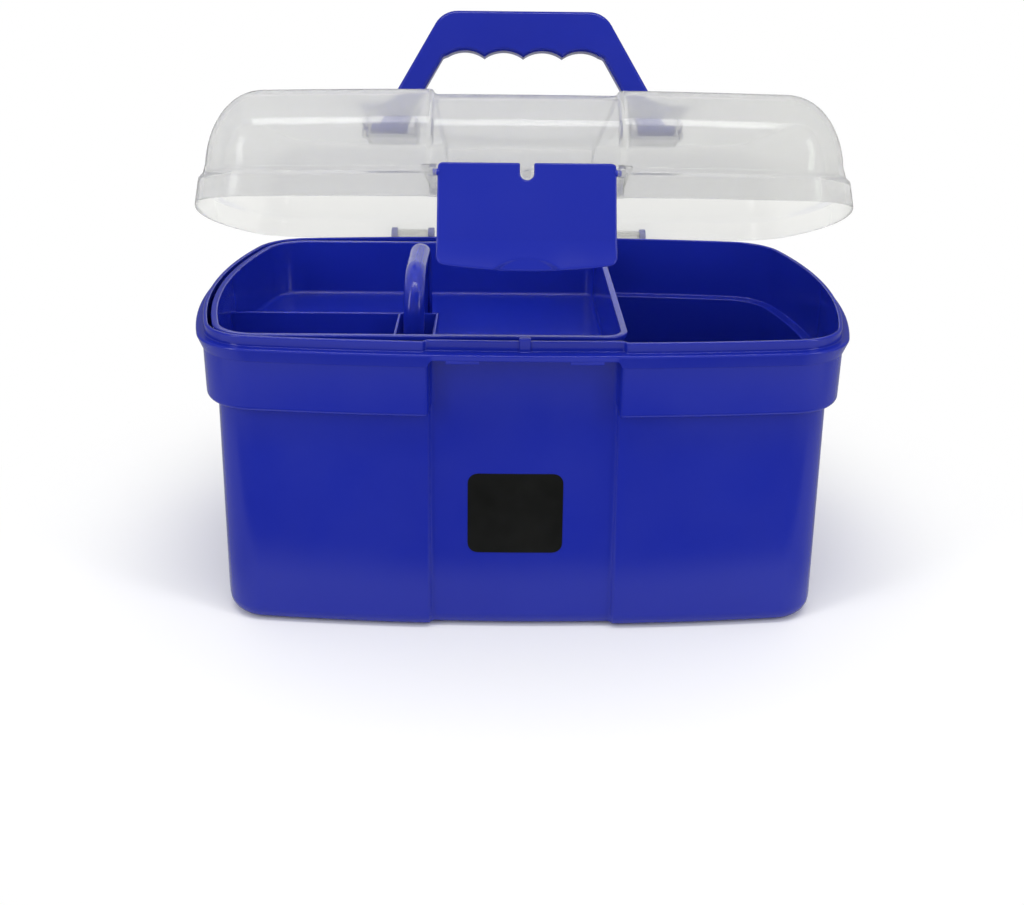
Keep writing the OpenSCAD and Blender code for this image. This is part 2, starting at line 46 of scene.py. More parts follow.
# Sizes of the tub
BOX_W, BOX_D, RIM_H = 340, 210, 148
CORNER_R, FRONT_BOW_R, END_BOW_R = 34, 1200, 270
WALL, FLOOR_T, FOOT_ROUND, DRAFT = 2.2, 2.5, 8, math.tan(math.radians(1))
FLANGE_H, FLANGE_TAPER, FLANGE_ROUND = 7, 3, 0.24
UPSTAND_IN, UPSTAND_H, UPSTAND_T = 4.2, 5, 2
SHOULDER_H, SHOULDER_IN, SHOULDER_TAPER, SHOULDER_ROUND, LEDGE_T = 33, 3.5, 1, 5.5, 3
PANEL_W, PANEL_SET, LIP_H, LIP_IN, RIB_BITE = 89.5, 2.5, 3, 0.5, 0.5
TOOTH_W, TOOTH_X, TOOTH_H, TOOTH_BITE = 16, 21, 1.5, 0.8
POST_W, POST_RISE, POST_OUT, POST_DROP = 5.6, 1.8, 0.3, 0.2

# Sizes of the lid and its hinges
LID_H, LID_T, LID_EDGE_H, LID_OPEN = 56, 1.6, 0.32, math.radians(20)
SKIRT_H, SKIRT_LEAN, SKIRT_STEP, SKIRT_ROUND, STEP_ROUND = 12, 1, 2, 2, 3
WALL_LEAN, DOME_Z, BELT_W, BELT_DEPTH = 1.2, 20, 89, 2.6
HINGE_BACK, HINGE_UP, HINGE_X, HINGE_PIN_R = 4, 4, 66, 2
BARREL_R, BARREL_L, BARREL_ROOT = 3.2, 18, 4
LUG_T, LUG_WALL, LUG_ROOT, LUG_CUT, LUG_ANGLES = 4, 1, 6, 1, (-20, 180)

# Sizes of the latch and of what holds it
LATCH_W, LATCH_T, LATCH_UP, LATCH_DOWN, LATCH_Z, LATCH_OUT = 82.4, 2.2, 4.6, 45.5, 10.5, 1.1
LATCH_BOW, LATCH_FOOT_R, LATCH_TOP_R, LATCH_EDGE_R = 3, 4, 2.4, 1.05
LATCH_PIN_R, LATCH_PIN_INSET = 1.6, 1
THUMB_OUT, THUMB_H, THUMB_POWER = 4.2, 14.5, 1.3
SCOOP_W, SCOOP_H, SCOOP_EDGE = 31, 6.5, 1.2
NOTCH_W, NOTCH_H = 6.4, 8
EAR_T, EAR_R, EAR_BITE, EAR_ANGLES = 3.5, 4, 0.25, (100, 260)
HOOK_L, HOOK_H, HOOK_ROOT_H, HOOK_INSET, TAB_W = 3.2, 1.4, 4.2, 4, 3.6
GUSSET_W, GUSSET_H, GUSSET_OUT = 5, 11, 0.9

# Sizes of the carry handle and its wells
HANDLE_H, HANDLE_TOP, HANDLE_W, HANDLE_T, HANDLE_EDGE_R = 60, 76, 154, 9, 2
LEG_W, GRIP_H, GRIP_CORNER_R, TOP_ROUND, TOP_ROUND_RISE = 14.7, 22.3, 3, 14, 12
FINGER_PITCH, FINGER_H, FINGER_N = 21.3, 3.7, 4
FOOT_Z, FOOT_R, FOOT_L, FOOT_SLACK = 5, 4.5, 20, 2.8
HANDLE_PIN_R, HANDLE_PIN_L = 1.9, 3.9
WELL_END_GAP, WELL_SIDE_GAP, WELL_FLOOR_GAP, WELL_ROUND = 0.8, 1.2, 1.6, 3
BLOCK_DROP, BLOCK_SHORT, BLOCK_ROUND = 0.3, 1, 1.5

# Sizes of the tray
TRAY_SIDE, TRAY_RIGHT, TRAY_IN, TRAY_H, TRAY_T = 15.5, 50, 8, 34, 1.8
TRAY_CORNER_R, TRAY_END_R, TRAY_LEAN, TRAY_FOOT, TRAY_NOOK = 24, 12, 1.8, 3, 2.4
TRAY_LIP, TRAY_LIP_H, TRAY_BEARING = 1.5, 2.4, 4
DIVIDER_H, POCKET_W = 15, 22
ARCH_X, ARCH_Y, ARCH_H, ARCH_W, ARCH_T, ARCH_ROUND = -56, 42, 17, 11, 5, 26
ARCH_RIM, ARCH_RIM_ROOT, ARCH_HOLLOW = 1.6, 2.2, 1.75

# Sizes of the label
LABEL_X, LABEL_Z, LABEL_W, LABEL_H, LABEL_R = -3.5, 62.5, 46.5, 42, 5
LABEL_T, LABEL_BITE, LABEL_EDGE_R = 0.18, 0.05, 0.08

# Gaps, small rounds, and the corner radii of the innermost rings and of the lid's flat top
GAP, PIN_GAP = 0.4, 0.1
TINY_ROUND, FINE_ROUND, NOOK_ROUND, EDGE_R = 0.3, 0.4, 0.5, 0.6
THIN_ROUND, WALL_ROUND, RIM_ROUND, BLUNT_ROUND = 0.7, 0.8, 0.9, 1
RING_END_R, FLAT_END_R = 1, 4

# Heights and insets that follow from the sizes
FRONT_Y = -BOX_D / 2
SHOULDER_Z = RIM_H - SHOULDER_H
LEDGE_Z = SHOULDER_Z + LEDGE_T
LEDGE_IN = SHOULDER_IN + SHOULDER_TAPER + WALL
LOWER_IN = SHOULDER_IN + SHOULDER_TAPER + SHOULDER_ROUND
FOOT_IN = LOWER_IN + SHOULDER_Z * DRAFT
LIP_Z = RIM_H - LIP_H
PANEL_TOP_IN = LOWER_IN + PANEL_SET - (LIP_Z - SHOULDER_Z) * DRAFT
PANEL_FOOT_IN = FOOT_IN + PANEL_SET
PANEL_UPSTAND_IN = UPSTAND_IN + BELT_DEPTH
RIB_ROOT_IN = (FOOT_IN + PANEL_TOP_IN + WALL) / 2
RING_END = CORNER_R - RING_END_R
HINGE_Y = BOX_D / 2 + HINGE_BACK
HINGE_Z = RIM_H + HINGE_UP
LUG_R = BARREL_R + LUG_WALL
LID_Z = RIM_H + GAP
LID_TOP = LID_Z + LID_H
SKIRT_IN = LIP_IN
SKIRT_TOP = LID_Z + SKIRT_H
DOME_IN = SKIRT_IN + SKIRT_LEAN + SKIRT_STEP + WALL_LEAN
FLAT_IN = CORNER_R - FLAT_END_R
DOME_W, DOME_H = FLAT_IN - DOME_IN, LID_H - DOME_Z
LEG_SLOPE = (HANDLE_W - HANDLE_TOP) / 2 / (HANDLE_H + TOP_ROUND_RISE)
GRIP_Z = HANDLE_H - GRIP_H - FINGER_H
FINGER_R = ((FINGER_PITCH / 2) ** 2 + FINGER_H ** 2) / (2 * FINGER_H)
FOOT_X = HANDLE_W / 2 + FOOT_Z * LEG_SLOPE
SWING_REACH = FOOT_Z * (math.sqrt(2) - 1) + HANDLE_T / 2
WELL_X1 = FOOT_X + FOOT_SLACK + WELL_END_GAP
WELL_X0 = HANDLE_W / 2 - LEG_W - SWING_REACH * LEG_SLOPE - WELL_END_GAP
WELL_Y = FOOT_Z + HANDLE_T / 2 * math.sqrt(2) + WELL_SIDE_GAP
WELL_H = FOOT_Z + FOOT_R + WELL_FLOOR_GAP
LATCH_PIN = (FRONT_Y - LATCH_OUT, LID_Z + LATCH_Z)
HOOK_Z = LIP_Z - TOOTH_H - GAP - LATCH_PIN[1]
EAR_IN = SKIRT_IN + BELT_DEPTH + SKIRT_LEAN + EAR_BITE
TRAY_D = BOX_D - 2 * TRAY_SIDE
TRAY_Z = LEDGE_Z + GAP
TRAY_TOP = TRAY_Z + TRAY_H

# How a well's wall comes in as it rounds into its floor, seen from above and from below: heights and insets
WELL_STEPS = ((WELL_H - 0.5, 0.1), (0.8, 0.2), (0.2, 0.4), (0, 1))
WELL_UNDER_STEPS = ((0.9, 0.1), (0.2, 0.4), (0, 1))

# Steps of a fillet, a plate's edge, an upright corner, an end, a long bow, a panel, the dome and a round
FILLET_N, EDGE_N, CORNER_N, END_N, BOW_N, PANEL_N, DOME_N, ROUND_N = 5, 3, 14, 18, 8, 5, 18, 36

# Steps of small forms, and the degrees between two points of a lug or an ear
LATCH_N, LATCH_EDGE_N, NOTCH_N, THUMB_N, SCOOP_N, SCOOP_CUTS = 12, 4, 16, 36, 32, 18
HANDLE_N, HANDLE_EDGE_N, HOLLOW_N, ARCH_N, ARCH_PATH_N, LABEL_N = 8, 5, 8, 16, 20, 16
ARC_STEP = 10

# Limits of outlines: a turn that counts as none, the share of a side that a fillet may take,
# the divisor of the sharpest mitre, and half the least flat between a plate's two edges
STRAIGHT, FILLET_SHARE, MITRE_LEAST, FLAT_LEAST = 1e-4, 0.49, 0.5, 0.02

# Distances that count as none
POINT_NEAR, CUT_NEAR, MERGE_NEAR, SLIVER, JOG_NEAR = 0.01, 1e-5, 0.0008, 0.0005, 1e-6

# How far large faces lead the shading, where 50 is neutral
FACE_WEIGHT = 80


# Outlines

def unit(v):
    length = math.hypot(*v)
    return (v[0] / length, v[1] / length)


def rounded(keys, closed=False, steps=FILLET_N):
    """Points of an outline of corners (x, y, radius): steps + 1 for each, or one where the radius is 0."""
    out = []
    n = len(keys)
    for i, (x, y, r) in enumerate(keys):
        if r == 0 or (not closed and i in (0, n - 1)):
            out.append((x, y))
            continue
        a, c = keys[i - 1], keys[(i + 1) % n]
        u, v = unit((a[0] - x, a[1] - y)), unit((c[0] - x, c[1] - y))
        angle = math.acos(max(-1, min(1, u[0] * v[0] + u[1] * v[1])))
        if angle > math.pi - STRAIGHT:
            out += [(x, y)] * (steps + 1)
            continue
        room = FILLET_SHARE * min(math.dist(a[:2], (x, y)), math.dist(c[:2], (x, y)))
        tangent = min(r / math.tan(angle / 2), room)
        r = tangent * math.tan(angle / 2)
        m = unit((u[0] + v[0], u[1] + v[1]))
        centre = (x + m[0] * r / math.sin(angle / 2), y + m[1] * r / math.sin(angle / 2))
        s = (x + u[0] * tangent - centre[0], y + u[1] * tangent - centre[1])
        turn = (math.pi - angle) * (-1 if u[0] * v[1] - u[1] * v[0] > 0 else 1)
        for k in range(steps + 1):
            t = turn * k / steps
            out.append((centre[0] + s[0] * math.cos(t) - s[1] * math.sin(t),
                        centre[1] + s[0] * math.sin(t) + s[1] * math.cos(t)))
    return out


def ring(cx, cy, r):
    angles = [2 * math.pi * k / ROUND_N for k in range(ROUND_N)]
    return [(cx + r * math.cos(a), cy + r * math.sin(a)) for a in angles]


def arc_points(cx, cy, r, first, last):
    """Points of a round from one angle to another, in degrees."""
    angles = [math.radians(d) for d in range(first, last + 1, ARC_STEP)]
    return [(cx + r * math.cos(a), cy + r * math.sin(a)) for a in angles]


def round_rect(cx, cy, w, h, r):
    return rounded([(cx - w / 2, cy - h / 2, r), (cx + w / 2, cy - h / 2, r),
                    (cx + w / 2, cy + h / 2, r), (cx - w / 2, cy + h / 2, r)], closed=True)


def area(points):
    return sum(points[i - 1][0] * p[1] - p[0] * points[i - 1][1] for i, p in enumerate(points)) / 2


def distinct(points):
    return [p for i, p in enumerate(points) if math.dist(p, points[i - 1]) > POINT_NEAR]


def inset(points, d):
    """The outline, anticlockwise, drawn in by d at mitred corners."""
    out = []
    n = len(points)
    for i, p in enumerate(points):
        a, c = points[i - 1], points[(i + 1) % n]
        e, f = unit((p[0] - a[0], p[1] - a[1])), unit((c[0] - p[0], c[1] - p[1]))
        scale = d / max(MITRE_LEAST, 1 + e[0] * f[0] + e[1] * f[1])
        out.append((p[0] - (e[1] + f[1]) * scale, p[1] + (e[0] + f[0]) * scale))
    return out


def mix(a, b, t):
    return [(p[0] + (q[0] - p[0]) * t, p[1] + (q[1] - p[1]) * t) for p, q in zip(a, b)]


# Plan of the rim: the middles of its bows and corners, and the angles where they meet
FRONT_C = FRONT_BOW_R - BOX_D / 2
END_C = BOX_W / 2 - END_BOW_R
SPAN = math.hypot(END_C, FRONT_C)
FRONT_REACH, END_REACH = FRONT_BOW_R - CORNER_R, END_BOW_R - CORNER_R
ALONG = (FRONT_REACH ** 2 - END_REACH ** 2 + SPAN ** 2) / (2 * SPAN)
ASIDE = math.sqrt(FRONT_REACH ** 2 - ALONG ** 2)
CORNER_X = ALONG * END_C / SPAN + ASIDE * FRONT_C / SPAN
CORNER_Y = FRONT_C - ALONG * FRONT_C / SPAN + ASIDE * END_C / SPAN
FRONT_A = math.atan2(CORNER_X, FRONT_C - CORNER_Y)
END_A = math.atan2(-CORNER_Y, CORNER_X - END_C)

# How a wall steps from a panel to the side: distances along X, and shares of the step that are left
JOG_X = [-2.6, -1.9, -1.3, -0.75, -0.25, 0.2, 0.55, 0.9, 1.3, 1.8, 2.4, 3.1]
JOG_SHARES = [1, 0.985, 0.95, 0.88, 0.74, 0.5, 0.26, 0.12, 0.05, 0.015, 0, 0]
JOG_DIGITS = 3


def jog_share(x):
    if x <= JOG_X[0]:
        return 1
    if x >= JOG_X[-1]:
        return 0
    i = bisect.bisect(JOG_X, x)
    t = (x - JOG_X[i - 1]) / (JOG_X[i] - JOG_X[i - 1])
    return JOG_SHARES[i - 1] + (JOG_SHARES[i] - JOG_SHARES[i - 1]) * t


class Station:
    """A place on the plan: a point for each inward offset, and how much of a panel its two faces have."""

    def __init__(self, turn, centre, radius, angle=None, x=None, outside=0, inside=0):
        self.turn, self.centre, self.radius, self.angle, self.x = turn, centre, radius, angle, x
        self.outside, self.inside = outside, inside

    def at(self, inwards):
        r = self.radius - inwards
        if self.x is not None:
            p = (self.x, self.centre[1] - math.sqrt(r * r - self.x * self.x))
        else:
            p = (self.centre[0] + r * math.cos(self.angle), self.centre[1] + r * math.sin(self.angle))
        return (self.turn * p[0], self.turn * p[1])


def box_stations(half, thick):
    """Stations round the box, with sunk panels of that half width in walls that thick, and the jogs' end."""
    jogs = sorted({round(start + d, JOG_DIGITS) for start in (half, half + thick) for d in JOG_X})
    last = jogs[-1]
    right = jogs + [last + (CORNER_X - last) * k / BOW_N for k in range(1, BOW_N)]
    middle = [(half + JOG_X[0]) * k / PANEL_N for k in range(1 - PANEL_N, PANEL_N)]
    xs = [-x for x in reversed(right)] + middle + right
    sweep = math.pi / 2 - FRONT_A - END_A
    out = []
    for turn in (1, -1):
        centre = (0, FRONT_C)
        out.append(Station(turn, centre, FRONT_BOW_R, angle=-math.pi / 2 - FRONT_A))
        for x in xs:
            out.append(Station(turn, centre, FRONT_BOW_R, x=x, outside=jog_share(abs(x) - half),
                               inside=jog_share(abs(x) - half - thick)))
        for k in range(CORNER_N):
            out.append(Station(turn, (CORNER_X, CORNER_Y), CORNER_R,
                               angle=-math.pi / 2 + FRONT_A + sweep * k / CORNER_N))
        for k in range(END_N):
            out.append(Station(turn, (END_C, 0), END_BOW_R, angle=-END_A + 2 * END_A * k / END_N))
        for k in range(CORNER_N):
            out.append(Station(turn, (CORNER_X, -CORNER_Y), CORNER_R, angle=END_A + sweep * k / CORNER_N))
    return out, last


def box_points(stations, profile_of):
    """Rows of points round the box; profile_of gives a station's profile."""
    profiles = [profile_of(s) for s in stations]
    count = len(profiles[0])
    return [[(*s.at(p[k][0]), p[k][1]) for s, p in zip(stations, profiles)] for k in range(count)]


# Meshes

def quads(bm, rows):
    """Quads between closed rows of vertices."""
    n = len(rows[0])
    for a, b in zip(rows, rows[1:]):
        for k in range(n):
            bm.faces.new((a[k], a[(k + 1) % n], b[(k + 1) % n], b[k]))


def fill(bm, loops):
    """Flat triangles between an outer loop of vertices and the holes in it."""
    edges = []
    for loop in loops:
        for k in range(len(loop)):
            pair = (loop[k - 1], loop[k])
            edges.append(bm.edges.get(pair) or bm.edges.new(pair))
    bmesh.ops.triangle_fill(bm, edges=edges, use_beauty=True)


class Piece:
    """A mesh under construction, in millimetres."""

    def __init__(self):
        self.bm = bmesh.new()

    def row(self, points):
        return [self.bm.verts.new(p) for p in points]

    def loft(self, rows):
        quads(self.bm, rows)

    def cap(self, row):
        self.bm.faces.new(row)

    def tube(self, rows):
        """A loft with both ends closed."""
        self.loft(rows)
        self.cap(rows[0])
        self.cap(rows[-1])

    def plate(self, outline, low, high, place, radius=EDGE_R, holes=(), steps=EDGE_N, cuts=()):
        """A plate with round edges: an outline in (u, v), from w = low to high, put where place says.
        Its faces are cut where cuts say, as 0 or 1 for u or v and a place, so that place can bend it."""
        outline = distinct(outline)
        if area(outline) < 0:
            outline = outline[::-1]
        radius = min(radius, (high - low) / 2 - FLAT_LEAST)
        bm = bmesh.new()
        rows = []
        for end, way in ((low, 1), (high, -1)):
            half = []
            for k in range(steps + 1):
                a = math.pi / 2 * k / steps
                w = end + way * radius * (1 - math.cos(a))
                drawn_in = inset(outline, radius * (1 - math.sin(a)))
                half.append([bm.verts.new((u, v, w)) for u, v in drawn_in])
            rows += half if way == 1 else half[::-1]
        quads(bm, rows)
        bores = []
        for hole in holes:
            bores.append([[bm.verts.new((u, v, w)) for u, v in hole] for w in (low, high)])
            quads(bm, bores[-1])
        for side, face in ((0, rows[0]), (1, rows[-1])):
            if bores:
                fill(bm, [face] + [bore[side] for bore in bores])
            else:
                bm.faces.new(face)
        for axis, at in cuts:
            normal = ((1, 0, 0), (0, 1, 0))[axis]
            geometry = bm.verts[:] + bm.edges[:] + bm.faces[:]
            bmesh.ops.bisect_plane(bm, geom=geometry, dist=CUT_NEAR, plane_co=[at * c for c in normal],
                                   plane_no=normal)
        for v in bm.verts:
            v.co = Vector(place(*v.co))
        bmesh.ops.recalc_face_normals(bm, faces=bm.faces[:])
        self.take(bm)

    def take(self, bm):
        mesh = bpy.data.meshes.new("part")
        bm.to_mesh(mesh)
        bm.free()
        self.bm.from_mesh(mesh)
        bpy.data.meshes.remove(mesh)

    def rod(self, ends, y, z, r, radius=EDGE_R):
        """A round rod along X."""
        self.plate(ring(y, z, r), min(ends), max(ends), across, radius=radius)

    def finish(self, name, body, material, node=None, matrix=None):
        """Turns the piece into an object in metres that rides on a body."""
        bm = self.bm
        bmesh.ops.remove_doubles(bm, verts=bm.verts[:], dist=MERGE_NEAR)
        bmesh.ops.dissolve_degenerate(bm, dist=SLIVER, edges=bm.edges[:])
        bmesh.ops.recalc_face_normals(bm, faces=bm.faces[:])
        if matrix:
            bm.transform(matrix)
        bm.transform(Matrix.Scale(MM, 4))
        mesh = bpy.data.meshes.new(name)
        bm.to_mesh(mesh)
        bm.free()
        for p in mesh.polygons:
            p.use_smooth = True
        obj = bpy.data.objects.new(name, mesh)
        bpy.context.scene.collection.objects.link(obj)
        mesh.materials.append(material)
        weighted = obj.modifiers.new("normals", "WEIGHTED_NORMAL")
        weighted.keep_sharp = True
        weighted.weight = FACE_WEIGHT
        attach(obj, body)
        if node:
            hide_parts(node)


def across(u, v, w):
    """Puts an outline of depth and height across the box, its thickness along X."""
    return (w, u, v)


def along(u, v, w):
    """Puts an outline of X and height along the box, its thickness along Y."""
    return (u, w, v)


ON_LID = (Matrix.Translation((0, HINGE_Y, HINGE_Z)) @ Matrix.Rotation(-LID_OPEN, 4, "X")
          @ Matrix.Translation((0, -HINGE_Y, -HINGE_Z)))


# Materials

# The range where most of a noise lies, and the share of the lid's light that only glows
NOISE_LOW, NOISE_HIGH = 0.3, 0.7
MILKINESS = 0.22


def nodes_of(name):
    material = bpy.data.materials.new(name)
    material.use_nodes = True
    tree = material.node_tree
    return material, tree, tree.nodes["Principled BSDF"]


def put(tree, node, values):
    """Sets a node's sockets, given by name or number, to values, or links them to outputs of other nodes."""
    for socket, value in values.items():
        if isinstance(value, bpy.types.NodeSocket):
            tree.links.new(value, node.inputs[socket])
        else:
            node.inputs[socket].default_value = value


def add(tree, kind, values, **settings):
    """A new shader node of a kind, with settings of its own and values on its sockets."""
    node = tree.nodes.new("ShaderNode" + kind)
    for name, value in settings.items():
        setattr(node, name, value)
    put(tree, node, values)
    return node


def object_coords(tree):
    return add(tree, "TexCoord", {}).outputs["Object"]


def noise(tree, scale, detail):
    values = {"Vector": object_coords(tree), "Scale": scale, "Detail": detail}
    return add(tree, "TexNoise", values).outputs["Fac"]


def ramp(tree, source, start, stop, low=0, high=1, kind="LINEAR"):
    """Goes from low to high while the source goes from start to stop."""
    values = {"Value": source, "From Min": start, "From Max": stop, "To Min": low, "To Max": high}
    return add(tree, "MapRange", values, interpolation_type=kind).outputs["Result"]


def smooth(tree, source, start, stop, low=0, high=1):
    return ramp(tree, source, start, stop, low, high, kind="SMOOTHSTEP")


def maths(tree, operation, *sources):
    return add(tree, "Math", dict(enumerate(sources)), operation=operation).outputs["Value"]


def spread(tree, source, low, high):
    """Spreads a noise from low to high."""
    return ramp(tree, source, NOISE_LOW, NOISE_HIGH, low, high)


def two_tone(tree, source, a, b):
    values = {"Factor": source, "A": (*a, 1), "B": (*b, 1)}
    return add(tree, "Mix", values, data_type="RGBA").outputs["Result"]


def cloudy(tree, scale, detail, a, b):
    """A colour that wanders between two tones."""
    return two_tone(tree, spread(tree, noise(tree, scale, detail), 0, 1), a, b)


def bump(tree, height, strength, distance, below=None):
    """A bumped normal, its distance in metres, on top of another where one is given."""
    values = {"Height": height, "Strength": strength, "Distance": distance}
    if below:
        values["Normal"] = below
    return add(tree, "Bump", values).outputs["Normal"]


def blend(tree, share, first, second):
    return add(tree, "MixShader", {"Fac": share, 1: first, 2: second}).outputs["Shader"]


def show(tree, surface):
    put(tree, tree.nodes["Material Output"], {"Surface": surface})


def blue_plastic():
    material, tree, shader = nodes_of("blue_plastic")
    waves = bump(tree, noise(tree, scale=16, detail=2), strength=0.1, distance=0.0006)
    grain = bump(tree, noise(tree, scale=900, detail=2), strength=0.04, distance=0.0001, below=waves)
    put(tree, shader, {
        "Base Color": cloudy(tree, scale=9, detail=4, a=(0.0068, 0.0155, 0.285), b=(0.0082, 0.0185, 0.31)),
        "Roughness": spread(tree, noise(tree, scale=38, detail=5), low=0.13, high=0.2),
        "Specular IOR Level": 0.42,
        "Normal": grain})
    return material


def frosted_plastic():
    """Milky see-through plastic: blurs what lies behind it, glows with light from there, and passes light."""
    material, tree, shader = nodes_of("frosted_plastic")
    put(tree, shader, {
        "Base Color": cloudy(tree, scale=7, detail=3, a=(0.925, 0.925, 0.91), b=(0.94, 0.94, 0.925)),
        "Roughness": 0.09,
        "IOR": 1.15,
        "Transmission Weight": 0.97,
        "Coat Weight": 0.35,
        "Coat Roughness": 0.11,
        "Normal": bump(tree, noise(tree, scale=14, detail=2), strength=0.08, distance=0.0006)})
    glow = add(tree, "BsdfTranslucent", {"Color": (0.9, 0.905, 0.88, 1)})
    clear = add(tree, "BsdfTransparent", {"Color": (0.88, 0.88, 0.87, 1)})
    path = add(tree, "LightPath", {})
    milky = blend(tree, MILKINESS, shader.outputs["BSDF"], glow.outputs["BSDF"])
    show(tree, blend(tree, path.outputs["Is Shadow Ray"], milky, clear.outputs["BSDF"]))
    return material


def black_vinyl():
    material, tree, shader = nodes_of("black_vinyl")
    put(tree, shader, {
        "Base Color": cloudy(tree, scale=60, detail=4, a=(0.004, 0.0044, 0.0038), b=(0.007, 0.0074, 0.0066)),
        "Roughness": spread(tree, noise(tree, scale=140, detail=4), low=0.34, high=0.46),
        "Specular IOR Level": 0.22,
        "Normal": bump(tree, noise(tree, scale=1400, detail=3), strength=0.12, distance=0.00008)})
    return material


blue, frosted, vinyl = blue_plastic(), frosted_plastic(), black_vinyl()


# Tub

# Round corners of the tub's profile from its floor up the inside and over the upstand to the rim
INSIDE_CORNERS = 6


def tub_profiles():
    """The tub's wall at a side and at a sunk panel, from the floor over the rim and down to the base."""
    up, flange_z = RIM_H + UPSTAND_H, RIM_H - FLANGE_H
    side = [(RING_END, FLOOR_T, 0),
            (FOOT_IN + WALL, FLOOR_T, FOOT_ROUND - WALL),
            (LOWER_IN + WALL, LEDGE_Z, WALL_ROUND),
            (LEDGE_IN, LEDGE_Z, WALL_ROUND),
            (UPSTAND_IN + UPSTAND_T, up, THIN_ROUND),
            (UPSTAND_IN, up, THIN_ROUND),
            (UPSTAND_IN, RIM_H, NOOK_ROUND),
            (0, RIM_H, RIM_ROUND),
            (FLANGE_TAPER, flange_z, FLANGE_ROUND),
            (SHOULDER_IN, flange_z, FLANGE_ROUND),
            (SHOULDER_IN + SHOULDER_TAPER, SHOULDER_Z, SHOULDER_ROUND),
            (LOWER_IN, SHOULDER_Z, WALL_ROUND),
            (FOOT_IN, 0, FOOT_ROUND),
            (RING_END, 0, 0)]

    def face(z):
        return (PANEL_TOP_IN + (LIP_Z - z) * DRAFT, z, WALL_ROUND)

    panel = [(RING_END, FLOOR_T, 0),
             (PANEL_FOOT_IN + WALL, FLOOR_T, FOOT_ROUND - WALL),
             (PANEL_TOP_IN + WALL, RIM_H, WALL_ROUND),
             (PANEL_UPSTAND_IN + UPSTAND_T, RIM_H, WALL_ROUND),
             (PANEL_UPSTAND_IN + UPSTAND_T, up, THIN_ROUND),
             (PANEL_UPSTAND_IN, up, THIN_ROUND),
             (PANEL_UPSTAND_IN, RIM_H, NOOK_ROUND),
             (LIP_IN, RIM_H, WALL_ROUND),
             (LIP_IN, LIP_Z, EDGE_R),
             (PANEL_TOP_IN, LIP_Z, NOOK_ROUND),
             face(SHOULDER_Z + SHOULDER_ROUND),
             face(SHOULDER_Z),
             (PANEL_FOOT_IN, 0, FOOT_ROUND),
             (RING_END, 0, 0)]
    return rounded(side), rounded(panel)


def make_tub():
    side, panel = tub_profiles()
    split = 1 + INSIDE_CORNERS * (FILLET_N + 1)

    def profile(s):
        return mix(side[:split], panel[:split], s.inside) + mix(side[split:], panel[split:], s.outside)

    stations, _ = box_stations(PANEL_W / 2, WALL)
    piece = Piece()
    piece.tube([piece.row(r) for r in box_points(stations, profile)])
    tub_ribs(piece)
    hinge_lugs(piece)
    front_teeth(piece)
    front_post(piece)
    piece.finish("tub_shell", "tub", blue, "tub")


def tub_ribs(piece):
    """Four ribs inside, beside the panels, that carry the tray."""
    foot, bearing = FLOOR_T - RIB_BITE, TRAY_SIDE + TRAY_BEARING
    outline = [(RIB_ROOT_IN, LEDGE_Z), (RIB_ROOT_IN, FOOT_ROUND), (FOOT_IN + FOOT_ROUND, foot),
               (bearing + FOOT_IN - LOWER_IN, foot), (bearing + TRAY_LIP + TRAY_LEAN, LEDGE_Z)]
    for sx in (-1, 1):
        x = sx * (PANEL_W + WALL) / 2
        for sy in (-1, 1):
            piece.plate(outline, x - WALL / 2, x + WALL / 2, lambda u, v, w: (w, sy * (u + FRONT_Y), v))


def hinge_lugs(piece):
    """Two pairs of lugs behind the rim, with holes for the lid's pins."""
    root, foot = HINGE_Y - HINGE_BACK - LUG_ROOT, RIM_H - FLANGE_H
    outline = [(root, foot), (HINGE_Y + LUG_CUT, foot + LUG_R - LUG_CUT)]
    outline += arc_points(HINGE_Y, HINGE_Z, LUG_R, *LUG_ANGLES)
    outline += [(HINGE_Y - LUG_R, RIM_H), (root, RIM_H)]
    hole = ring(HINGE_Y, HINGE_Z, HINGE_PIN_R + PIN_GAP)
    for middle in (-HINGE_X, HINGE_X):
        for side in (-1, 1):
            x = middle + side * (BARREL_L / 2 + GAP + LUG_T / 2)
            piece.plate(outline, x - LUG_T / 2, x + LUG_T / 2, across, holes=[hole])


def front_teeth(piece):
    """Two teeth under the front lip, for the latch's hook."""
    for sx in (-1, 1):
        outline = round_rect(sx * (TOOTH_X + TOOTH_W / 2), LIP_Z + (TOOTH_BITE - TOOTH_H) / 2,
                             TOOTH_W, TOOTH_H + TOOTH_BITE, NOOK_ROUND)
        piece.plate(outline, FRONT_Y + LIP_IN + EDGE_R, FRONT_Y + LIP_IN + LIP_H, along, radius=NOOK_ROUND)


def front_post(piece):
    """A post in the middle of the front rim, from the lip over the upstand."""
    lip = FRONT_Y + LIP_IN + EDGE_R
    front, low, step, top = lip - POST_OUT, LIP_Z + EDGE_R, RIM_H - POST_DROP, RIM_H + UPSTAND_H + POST_RISE
    face, back = lip + PANEL_UPSTAND_IN - UPSTAND_T, lip + PANEL_UPSTAND_IN + EDGE_R
    outline = [(front, low, FINE_ROUND), (back, low, 0), (back, top, WALL_ROUND),
               (face, top, BLUNT_ROUND), (face, step, WALL_ROUND), (front, step, NOOK_ROUND)]
    piece.plate(rounded(outline, closed=True), -POST_W / 2, POST_W / 2, across, radius=THIN_ROUND)


# Label

def panel_y(x, z):
    """Depth of the sunk front panel's face."""
    r = FRONT_BOW_R - PANEL_TOP_IN - (LIP_Z - z) * DRAFT
    return FRONT_C - math.sqrt(r * r - x * x)


